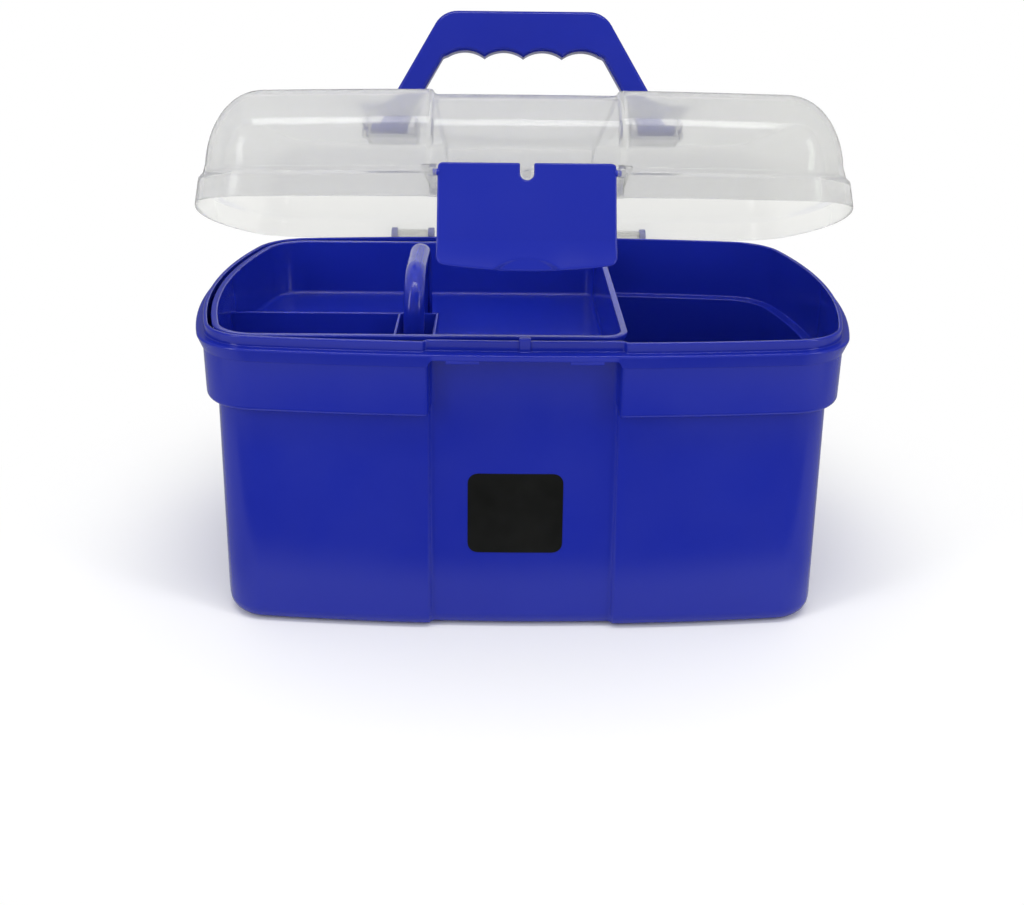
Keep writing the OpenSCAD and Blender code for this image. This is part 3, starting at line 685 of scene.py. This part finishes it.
def make_label():
    def place(u, v, w):
        return (u, panel_y(u, v) + w, v)

    outline = round_rect(LABEL_X, LABEL_Z, LABEL_W, LABEL_H, LABEL_R)
    cuts = [(0, LABEL_X + LABEL_W * (k / LABEL_N - 1 / 2)) for k in range(1, LABEL_N)]
    piece = Piece()
    piece.plate(outline, -LABEL_T, LABEL_BITE, place, radius=LABEL_EDGE_R, cuts=cuts)
    piece.finish("front_label", "tub", vinyl)


# Tray

def tray_stations():
    """Stations round the tray: its four corners, from the front left one on, and its bowed left end."""
    end = END_BOW_R - TRAY_IN
    corner_y = TRAY_D / 2 - TRAY_CORNER_R
    corner_x = -END_C - math.sqrt((end - TRAY_CORNER_R) ** 2 - corner_y ** 2)
    tilt = math.atan2(corner_y, -END_C - corner_x)
    right_x, right_y = TRAY_RIGHT - TRAY_END_R, TRAY_D / 2 - TRAY_END_R
    out = []

    def arc(centre, r, start, stop, steps, count):
        for k in range(count):
            out.append(Station(1, centre, r, angle=start + (stop - start) * k / steps))

    whole = CORNER_N + 1
    arc((corner_x, -corner_y), TRAY_CORNER_R, math.pi + tilt, 3 / 2 * math.pi, CORNER_N, whole)
    arc((right_x, -right_y), TRAY_END_R, -math.pi / 2, 0, CORNER_N, whole)
    arc((right_x, right_y), TRAY_END_R, 0, math.pi / 2, CORNER_N, whole)
    arc((corner_x, corner_y), TRAY_CORNER_R, math.pi / 2, math.pi - tilt, CORNER_N, CORNER_N)
    arc((-END_C, 0), end, math.pi - tilt, math.pi + tilt, END_N, END_N)
    return out


def make_tray():
    ring_end = TRAY_END_R - RING_END_R
    foot, lip = TRAY_LIP + TRAY_LEAN, TRAY_TOP - TRAY_LIP_H
    wall = rounded([(ring_end, TRAY_Z + TRAY_T, 0), (foot + TRAY_T, TRAY_Z + TRAY_T, TRAY_NOOK),
                    (TRAY_LIP + TRAY_T, TRAY_TOP, THIN_ROUND), (0, TRAY_TOP, WALL_ROUND),
                    (0, lip, FINE_ROUND), (TRAY_LIP, lip, TINY_ROUND),
                    (foot, TRAY_Z, TRAY_FOOT), (ring_end, TRAY_Z, 0)])
    stations = tray_stations()
    piece = Piece()
    piece.tube([piece.row([(*s.at(inwards), z) for s in stations]) for inwards, z in wall])
    tray_dividers(piece)
    arch_bar(piece)
    piece.finish("tray_shell", "tray", blue, "tray")


def tray_dividers(piece):
    """A divider along the tray from its left end, and the two walls of a pocket in front of it."""
    low, high = TRAY_Z + TRAY_T / 2, TRAY_Z + TRAY_T + DIVIDER_H
    left, right = TRAY_IN + TRAY_LIP + TRAY_LEAN - BOX_W / 2, ARCH_X + POCKET_W / 2
    outline = rounded([(left, low, 0), (right, low, 0), (right, high, EDGE_R), (left, high, 0)], closed=True)
    piece.plate(outline, -TRAY_T / 2, TRAY_T / 2, along, radius=THIN_ROUND)
    reach = TRAY_D / 2 - TRAY_LIP - TRAY_T / 2
    outline = rounded([(-reach, low, 0), (0, low, 0), (0, high, BLUNT_ROUND), (-reach, high, BLUNT_ROUND)],
                      closed=True)
    for side in (-1, 1):
        x = ARCH_X + side * (POCKET_W - TRAY_T) / 2
        piece.plate(outline, x - TRAY_T / 2, x + TRAY_T / 2, across, radius=THIN_ROUND)


def arch_bar(piece):
    """The tray's arch handle: a half-round strap, hollow on its inner face and bent over its top."""
    low, top = TRAY_Z + TRAY_T / 2, TRAY_TOP + ARCH_H
    path = rounded([(-ARCH_Y, low, 0), (TRAY_LIP - ARCH_Y, top, ARCH_ROUND),
                    (ARCH_Y - TRAY_LIP, top, ARCH_ROUND), (ARCH_Y, low, 0)], steps=ARCH_PATH_N)
    half = ARCH_W / 2
    angles = [math.pi * (1 - k / ARCH_N) for k in range(ARCH_N + 1)]
    crown = [(half * math.cos(a), ARCH_T * (1 - math.sin(a)), 0) for a in angles]
    rim, root, floor = half - ARCH_RIM, half - ARCH_RIM_ROOT, ARCH_T - ARCH_HOLLOW
    hollow = [(rim, ARCH_T, FINE_ROUND), (root, floor, NOOK_ROUND),
              (-root, floor, NOOK_ROUND), (-rim, ARCH_T, FINE_ROUND)]
    section = rounded(crown + hollow, closed=True)
    rows = []
    for i, p in enumerate(path):
        a, c = path[max(0, i - 1)], path[min(len(path) - 1, i + 1)]
        t = unit((c[0] - a[0], c[1] - a[1]))
        rows.append(piece.row([(ARCH_X + x, p[0] + t[1] * d, p[1] - t[0] * d) for x, d in section]))
    piece.tube(rows)


# Lid

def lid_profile(sunk, thick):
    """Points of one face of the lid from its lower edge to the top; sunk moves them in and down."""
    s = sunk + thick
    low = [(SKIRT_IN + s, LID_Z, 0), (SKIRT_IN + SKIRT_LEAN + s, SKIRT_TOP - thick, SKIRT_ROUND),
           (SKIRT_IN + SKIRT_LEAN + SKIRT_STEP + s, SKIRT_TOP + SKIRT_STEP - thick, STEP_ROUND),
           (FLAT_IN - (DOME_W - s), LID_Z + DOME_Z, 0)]
    dome = [(FLAT_IN - (DOME_W - s) * math.cos(a), LID_Z + DOME_Z + (DOME_H - s) * math.sin(a))
            for a in [math.pi / 2 * k / DOME_N for k in range(1, DOME_N + 1)]]
    return rounded(low) + dome + [(RING_END, LID_TOP - s)]


def lid_top(piece, stations, row, edge, holes):
    """Closes the lid's top: strips over the belt from front to back, and at each side a face with a hole."""
    n = len(stations)
    half = n // 2
    front = [i for i in range(half) if stations[i].x is not None and abs(stations[i].x) <= edge + JOG_NEAR]
    first, last = front[0], front[-1]
    for i, j in zip(front, front[1:]):
        back_i, back_j = half + first + last - i, half + first + last - j
        piece.cap((row[i], row[j], row[back_j], row[back_i]))
    right = [row[k] for k in range(last, half + first + 1)]
    left = [row[k % n] for k in range(half + last, n + first + 1)]
    fill(piece.bm, [right, holes[0]])
    fill(piece.bm, [left, holes[1]])


def lid_well(piece, sx, grow, top, floor, steps):
    """Makes one face of a handle well at a side of the lid, and gives back its upper loop."""
    middle, wide = sx * (WELL_X0 + WELL_X1) / 2, WELL_X1 - WELL_X0

    def level(z, grown):
        outline = round_rect(middle, 0, wide + 2 * grown, 2 * (WELL_Y + grown), WELL_ROUND + grown)
        return piece.row([(x, y, z) for x, y in outline])

    rows = [level(top, grow)] + [level(floor + height, grow - inwards) for height, inwards in steps]
    piece.loft(rows)
    piece.cap(rows[-1])
    return rows[0]


def make_lid():
    stations, edge = box_stations(BELT_W / 2, LID_T)
    outer = [lid_profile(0, 0), lid_profile(BELT_DEPTH, 0)]
    inner = [lid_profile(0, LID_T), lid_profile(BELT_DEPTH, LID_T)]
    piece = Piece()
    rows_out = [piece.row(r) for r in box_points(stations, lambda s: mix(*outer, s.outside))]
    rows_in = [piece.row(r) for r in box_points(stations, lambda s: mix(*inner, s.inside))]
    piece.loft(rows_out)
    piece.loft(rows_in)
    insets = [SKIRT_IN + LID_T / 2 + BELT_DEPTH * (s.inside + s.outside) / 2 for s in stations]
    lower = piece.row([(*s.at(inwards), LID_Z - LID_EDGE_H) for s, inwards in zip(stations, insets)])
    piece.loft([rows_in[0], lower, rows_out[0]])
    wells_out, wells_in = [], []
    floor = LID_TOP - WELL_H
    for sx in (1, -1):
        wells_out.append(lid_well(piece, sx, 0, LID_TOP, floor, WELL_STEPS))
        wells_in.append(lid_well(piece, sx, LID_T, LID_TOP - LID_T, floor - LID_T, WELL_UNDER_STEPS))
    lid_top(piece, stations, rows_out[-1], edge, wells_out)
    lid_top(piece, stations, rows_in[-1], edge, wells_in)
    for sx in (-1, 1):
        pin_block(piece, sx)
        latch_ear(piece, sx)
        hinge_barrel(piece, sx)
    latch_tab(piece)
    piece.finish("lid_shell", "lid", frosted, "lid", matrix=ON_LID)


def pin_block(piece, sx):
    """A block beside a handle well, with a hole for the handle's pin."""
    ends = sorted((sx * (WELL_X1 + GAP), sx * (WELL_X1 + HANDLE_PIN_L)))
    outline = round_rect(0, LID_TOP - WELL_H / 2 - BLOCK_DROP, 2 * FOOT_R, WELL_H - BLOCK_SHORT, BLOCK_ROUND)
    hole = ring(0, LID_TOP - FOOT_Z, HANDLE_PIN_R + PIN_GAP)
    piece.plate(outline, *ends, across, holes=[hole], radius=FINE_ROUND)


def latch_ear(piece, sx):
    """An ear beside the latch, with a hole for its pin and a gusset."""
    pin_y, pin_z = LATCH_PIN
    x = sx * (LATCH_W / 2 + GAP + EAR_T / 2)
    outline = arc_points(pin_y, pin_z, EAR_R, *EAR_ANGLES)
    outline += [(FRONT_Y + EAR_IN, LID_Z + EDGE_R), (FRONT_Y + EAR_IN, SKIRT_TOP)]
    hole = ring(pin_y, pin_z, LATCH_PIN_R + PIN_GAP)
    piece.plate(outline, x - EAR_T / 2, x + EAR_T / 2, across, holes=[hole])
    edge, top = LATCH_W / 2 + GAP + EAR_T - EDGE_R, pin_z + EAR_R
    gusset = [(sx * edge, top, 0), (sx * (edge + GUSSET_W), top, BLUNT_ROUND), (sx * edge, top - GUSSET_H, 0)]
    piece.plate(rounded(gusset, closed=True), FRONT_Y + SKIRT_IN - GUSSET_OUT, FRONT_Y + EAR_IN, along,
                radius=NOOK_ROUND)


def hinge_barrel(piece, sx):
    """A barrel at the back of the lid, with a pin at each end and a web to the skirt."""
    left, right = sx * HINGE_X - BARREL_L / 2, sx * HINGE_X + BARREL_L / 2
    piece.rod((left, right), HINGE_Y, HINGE_Z, BARREL_R)
    reach = GAP + LUG_T
    piece.rod((left - reach, left + EDGE_R), HINGE_Y, HINGE_Z, HINGE_PIN_R, radius=FINE_ROUND)
    piece.rod((right - EDGE_R, right + reach), HINGE_Y, HINGE_Z, HINGE_PIN_R, radius=FINE_ROUND)
    root = HINGE_Y - HINGE_BACK - BARREL_ROOT
    web = round_rect((root + HINGE_Y) / 2, HINGE_Z, HINGE_Y - root, 2 * LID_T, TINY_ROUND)
    piece.plate(web, left, right, across, radius=NOOK_ROUND)


def latch_tab(piece):
    """A tab on the skirt that stands in the latch's notch."""
    front, back = FRONT_Y - LATCH_OUT + GAP, FRONT_Y + EAR_IN
    low = LATCH_PIN[1] - TAB_W / 2
    outline = round_rect((front + back) / 2, (low + SKIRT_TOP) / 2, back - front, SKIRT_TOP - low, WALL_ROUND)
    piece.plate(outline, -TAB_W / 2, TAB_W / 2, across, radius=WALL_ROUND)


# Latch

def latch_outline():
    """The latch seen from the front, measured from its pins, with a bowed foot and a notch in its top."""
    half, notch = LATCH_W / 2, NOTCH_W / 2
    bow = (half ** 2 + LATCH_BOW ** 2) / (2 * LATCH_BOW)

    def foot(x):
        return -LATCH_DOWN + bow - math.sqrt(bow * bow - x * x)

    outline = [(-half, foot(half), LATCH_FOOT_R)]
    outline += [(x, foot(x), 0) for x in [half * k / LATCH_N for k in range(2 - LATCH_N, LATCH_N - 1)]]
    outline += [(half, foot(half), LATCH_FOOT_R), (half, LATCH_UP, LATCH_TOP_R),
                (notch, LATCH_UP, BLUNT_ROUND)]
    centre = LATCH_UP - NOTCH_H + notch
    angles = [-math.pi * k / NOTCH_N for k in range(NOTCH_N + 1)]
    outline += [(notch * math.cos(a), centre + notch * math.sin(a), 0) for a in angles]
    outline += [(-notch, LATCH_UP, BLUNT_ROUND), (-half, LATCH_UP, LATCH_TOP_R)]
    return rounded(outline, closed=True)


def make_latch():
    half = LATCH_W / 2
    start = THUMB_H - LATCH_DOWN
    scoop_r = (SCOOP_W ** 2 / 4 + SCOOP_H ** 2) / (2 * SCOOP_H)
    scoop_v = SCOOP_H - LATCH_DOWN - scoop_r

    def flare(v):
        return THUMB_OUT * max(0, (start - v) / THUMB_H) ** THUMB_POWER

    def place(u, v, w):
        out, scooped = flare(v), min(flare(v), flare(SCOOP_H - LATCH_DOWN))
        t = min(1, max(0, (scoop_r - math.hypot(u, v - scoop_v)) / SCOOP_EDGE))
        return (u, w - out + (out - scooped) * t * t * (3 - 2 * t), v)

    cuts = [(1, start - THUMB_H * k / THUMB_N) for k in range(THUMB_N)]
    cuts += [(0, SCOOP_W * k / SCOOP_N) for k in range(-SCOOP_CUTS, SCOOP_CUTS + 1)]
    piece = Piece()
    piece.plate(latch_outline(), -LATCH_T / 2, LATCH_T / 2, place, radius=LATCH_EDGE_R, steps=LATCH_EDGE_N,
                cuts=cuts)
    for sx in (-1, 1):
        root = sx * (half - LATCH_PIN_INSET)
        piece.rod((sx * (NOTCH_W / 2 + LATCH_PIN_INSET), root), EDGE_R, 0, LATCH_T / 2 + EDGE_R)
        piece.rod((root, sx * (half + GAP + EAR_T / 2)), 0, 0, LATCH_PIN_R, radius=FINE_ROUND)
    tip = LATCH_T / 2 + HOOK_L
    hook = rounded([(0, HOOK_Z, 0), (0, HOOK_Z - HOOK_ROOT_H, 0), (tip, HOOK_Z - HOOK_H, FINE_ROUND),
                    (tip, HOOK_Z, FINE_ROUND)], closed=True)
    piece.plate(hook, HOOK_INSET - half, half - HOOK_INSET, across, radius=FINE_ROUND)
    matrix = ON_LID @ Matrix.Translation((0, *LATCH_PIN))
    piece.finish("latch_plate", "latch", blue, "latch", matrix=matrix)


# Carry handle

def finger_hollows():
    """Points of the grip's scalloped lower edge, from left to right, without radii."""
    half_angle = math.asin(FINGER_PITCH / 2 / FINGER_R)
    z = GRIP_Z + FINGER_H - FINGER_R
    out = []
    for i in range(FINGER_N):
        x = (i - (FINGER_N - 1) / 2) * FINGER_PITCH
        stop = HOLLOW_N + 1 if i < FINGER_N - 1 else HOLLOW_N
        for k in range(1 - HOLLOW_N, stop):
            a = math.pi / 2 - half_angle * k / HOLLOW_N
            out.append((x + FINGER_R * math.cos(a), z + FINGER_R * math.sin(a), 0))
    return out


def make_handle():
    half = HANDLE_W / 2
    low, high = half + FOOT_Z * LEG_SLOPE, half - HANDLE_H * LEG_SLOPE
    inner_low, inner_high = low - LEG_W, half - LEG_W - GRIP_Z * LEG_SLOPE
    outline = [(-low, -FOOT_Z, 0), (-inner_low, -FOOT_Z, 0), (-inner_high, GRIP_Z, GRIP_CORNER_R)]
    outline += finger_hollows()
    outline += [(inner_high, GRIP_Z, GRIP_CORNER_R), (inner_low, -FOOT_Z, 0), (low, -FOOT_Z, 0),
                (high, HANDLE_H, TOP_ROUND), (-high, HANDLE_H, TOP_ROUND)]
    piece = Piece()
    piece.plate(rounded(outline, closed=True, steps=HANDLE_N), -HANDLE_T / 2, HANDLE_T / 2, along,
                radius=HANDLE_EDGE_R, steps=HANDLE_EDGE_N)
    tip = FOOT_X + FOOT_SLACK
    for sx in (-1, 1):
        foot, pin = (sx * (tip - FOOT_L), sx * tip), (sx * (tip - EDGE_R), sx * (tip + HANDLE_PIN_L))
        piece.rod(foot, 0, -FOOT_Z, FOOT_R)
        piece.rod(pin, 0, -FOOT_Z, HANDLE_PIN_R, radius=FINE_ROUND)
    matrix = ON_LID @ Matrix.Translation((0, 0, LID_TOP))
    piece.finish("handle_bar", "carry_handle", blue, "carry_handle", matrix=matrix)


make_tub()
make_label()
make_tray()
make_lid()
make_latch()
make_handle()


# Stage: a white floor, a white surround, soft lights and the camera, all in metres

FLOOR_HALF = 6
FLOOR_WHITE = (0.95, 0.95, 0.95)
BLACK = (0, 0, 0)

# Distances from the middle between which the floor's shadow fades to plain white
WHITE_FADE = (0.17, 0.34)

# Painted reflection: where the floor, as mirrored in the box, is painted darker, and by how much: with
# distance, to the sides, and in front
FAR_FADE, FAR_PAINTED_DARK = (0.32, 0.52), (0.93, 0.4)
SIDE_FADE, SIDE_PAINTED_DARK = (0.15, 0.2), (0.32, 0.62)
FRONT_FADE = (-0.165, -0.125)

# Strength of the surround as a light and where mirrored
WORLD_LIGHT, WORLD_MIRRORED = 0.79, 0.25

# Place, aim, size and power in watts of each light
LIGHTS = {
    "top": ((0, -0.47, 1.5), (0, 0, 0.15), (1.3, 0.22), 7.5),
    "left": ((-1.4, -1.05, 0.9), (0, 0, 0.12), (0.35, 1.2), 7),
    "right": ((1.4, -0.95, 0.9), (0, 0, 0.12), (0.35, 1.2), 6)}

# The camera: the picture in pixels, the sensor in millimetres, and its aim, distance and turns
FOCAL_PX, IMAGE_W, IMAGE_H, CENTRE_PX, SENSOR = 1269, 1024, 905, 200, 36
CAMERA_AIM, CAMERA_DISTANCE, CAMERA_CLIP = (-0.0057, 0, 0.1988), 0.679, (0.01, 50)
ELEVATION, YAW, ROLL = math.radians(12.65), math.radians(-0.7), math.radians(0.66)


def seen_directly(tree, path):
    """Whether a ray comes from the camera, straight or through the lid."""
    return maths(tree, "MAXIMUM", path.outputs["Is Camera Ray"], path.outputs["Is Transmission Ray"])


def make_floor():
    """A white floor that takes the box's shadow, is plain white farther off, and is painted darker where
    mirrored, a painted reflection on the box.
    """
    s = FLOOR_HALF
    mesh = bpy.data.meshes.new("floor")
    mesh.from_pydata([(-s, -s, 0), (s, -s, 0), (s, s, 0), (-s, s, 0)], [], [(0, 1, 2, 3)])
    floor = bpy.data.objects.new("floor", mesh)
    bpy.context.scene.collection.objects.link(floor)
    material, tree, shader = nodes_of("white_floor")
    coords = object_coords(tree)
    path = add(tree, "LightPath", {})
    length = add(tree, "VectorMath", {0: coords}, operation="LENGTH").outputs["Value"]
    split = add(tree, "SeparateXYZ", {"Vector": coords})
    far = smooth(tree, length, *FAR_FADE, *FAR_PAINTED_DARK)
    side = smooth(tree, maths(tree, "ABSOLUTE", split.outputs["X"]), *SIDE_FADE, *SIDE_PAINTED_DARK)
    front = smooth(tree, split.outputs["Y"], *FRONT_FADE, far, side)
    # Painted reflection: only in mirrors, the floor's colour is painted darker by an amount set by distance,
    # side and front
    painted_reflection_dark = maths(tree, "MULTIPLY", front, path.outputs["Is Glossy Ray"])
    put(tree, shader, {"Base Color": two_tone(tree, painted_reflection_dark, FLOOR_WHITE, BLACK),
                       "Roughness": 0.7,
                       "Specular IOR Level": 0.2})
    white = maths(tree, "MULTIPLY", smooth(tree, length, *WHITE_FADE), seen_directly(tree, path))
    plain = add(tree, "Emission", {}).outputs["Emission"]
    show(tree, blend(tree, white, shader.outputs["BSDF"], plain))
    mesh.materials.append(material)


def make_world():
    """A white surround, dimmer as a light and in what is mirrored than for the camera and through the lid."""
    world = bpy.data.worlds.new("surround")
    world.use_nodes = True
    tree = world.node_tree
    path = add(tree, "LightPath", {})
    unseen = ramp(tree, path.outputs["Is Glossy Ray"], 0, 1, WORLD_LIGHT, WORLD_MIRRORED)
    strength = ramp(tree, seen_directly(tree, path), 0, 1, unseen, 1)
    put(tree, tree.nodes["Background"], {"Color": (1, 1, 1, 1), "Strength": strength})
    bpy.context.scene.world = world


def soft_light(name, place, aim, size, power):
    data = bpy.data.lights.new(name, "AREA")
    data.shape = "RECTANGLE"
    data.size, data.size_y = size
    data.energy = power
    light = bpy.data.objects.new(name, data)
    light.location = place
    light.rotation_euler = (Vector(aim) - Vector(place)).to_track_quat("-Z", "Y").to_euler()
    bpy.context.scene.collection.objects.link(light)


def make_camera():
    data = bpy.data.cameras.new("camera")
    data.sensor_fit = "HORIZONTAL"
    data.sensor_width = SENSOR
    data.lens = FOCAL_PX / IMAGE_W * SENSOR
    data.clip_start, data.clip_end = CAMERA_CLIP
    data.shift_y = (CENTRE_PX - IMAGE_H / 2) / IMAGE_W
    camera = bpy.data.objects.new("camera", data)
    away = Vector((math.sin(YAW) * math.cos(ELEVATION), -math.cos(YAW) * math.cos(ELEVATION),
                   math.sin(ELEVATION)))
    camera.location = Vector(CAMERA_AIM) + away * CAMERA_DISTANCE
    turn = (-away).to_track_quat("-Z", "Y").to_matrix().to_4x4() @ Matrix.Rotation(ROLL, 4, "Z")
    camera.rotation_euler = turn.to_euler()
    bpy.context.scene.collection.objects.link(camera)
    bpy.context.scene.camera = camera


make_floor()
make_world()
for light_name, light in LIGHTS.items():
    soft_light(light_name, *light)
make_camera()
bpy.context.scene.view_settings.view_transform = "Standard"
